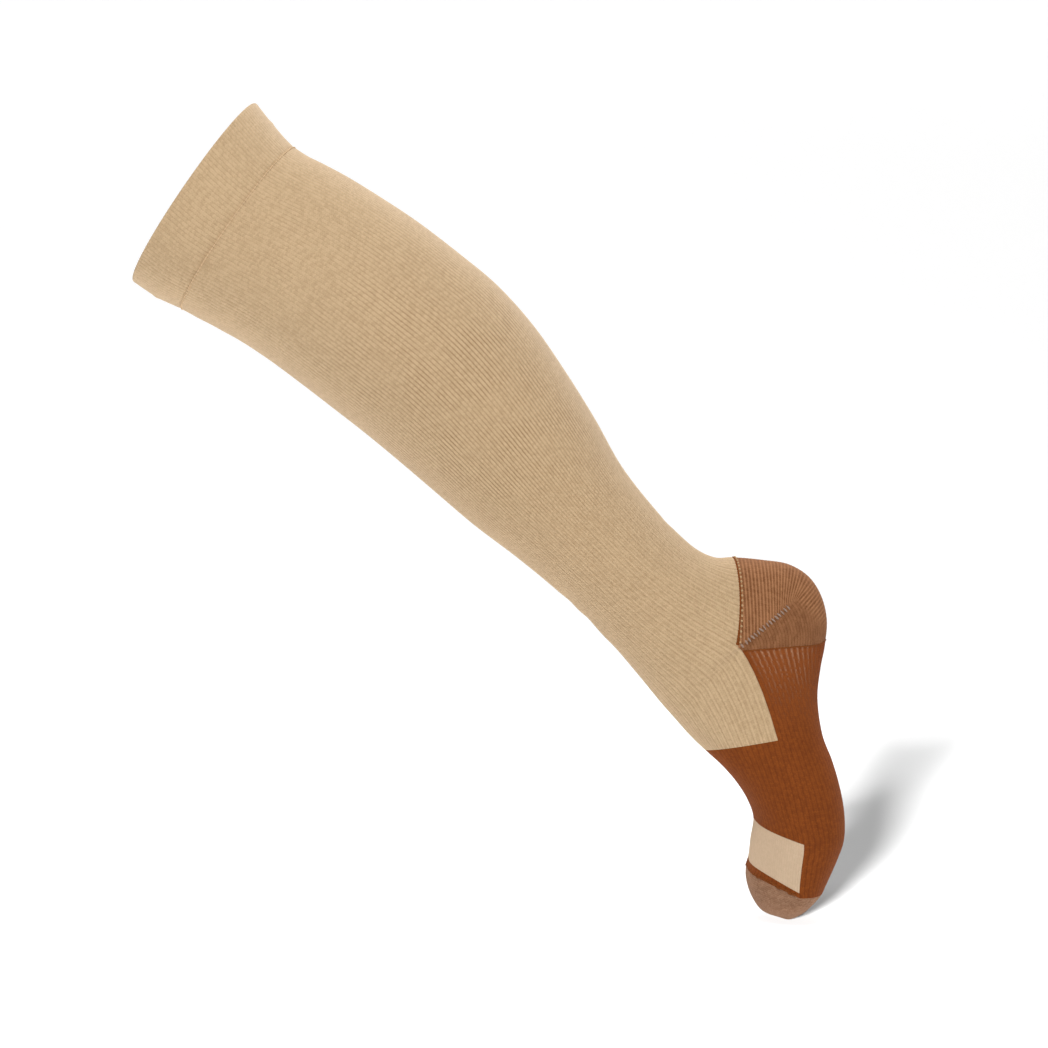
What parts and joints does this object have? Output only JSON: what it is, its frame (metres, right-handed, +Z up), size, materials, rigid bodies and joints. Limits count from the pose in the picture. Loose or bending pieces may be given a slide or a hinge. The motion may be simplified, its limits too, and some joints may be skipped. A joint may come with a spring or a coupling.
{
  "type": "compression stocking",
  "caption": "Knee-high compression stocking, filled out and hollow, on tiptoe, with a turned welt, plated heel and toe, and a copper foot.",
  "frame": {"origin": "middle of the cuff's opening, below the wearer's knee", "axes": "+Z up, +X from the cuff towards the heel, -Y towards the side that the picture shows; the leg runs down along +X and -Z"},
  "size_m": [0.4122, 0.1046, 0.4726],
  "materials": {
    "beige_knit": "matte fine rib knit with inlaid elastic",
    "copper_knit": "matte fine rib knit",
    "plated_knit": "matte plated knit of copper and beige yarn"
  },
  "bodies": {
    "root": {"welt": "beige_knit", "leg": "beige_knit", "heel_pocket": "plated_knit", "foot": "copper_knit", "toe_panel": "beige_knit", "toe_cap": "plated_knit"}
  },
  "joints": []
}
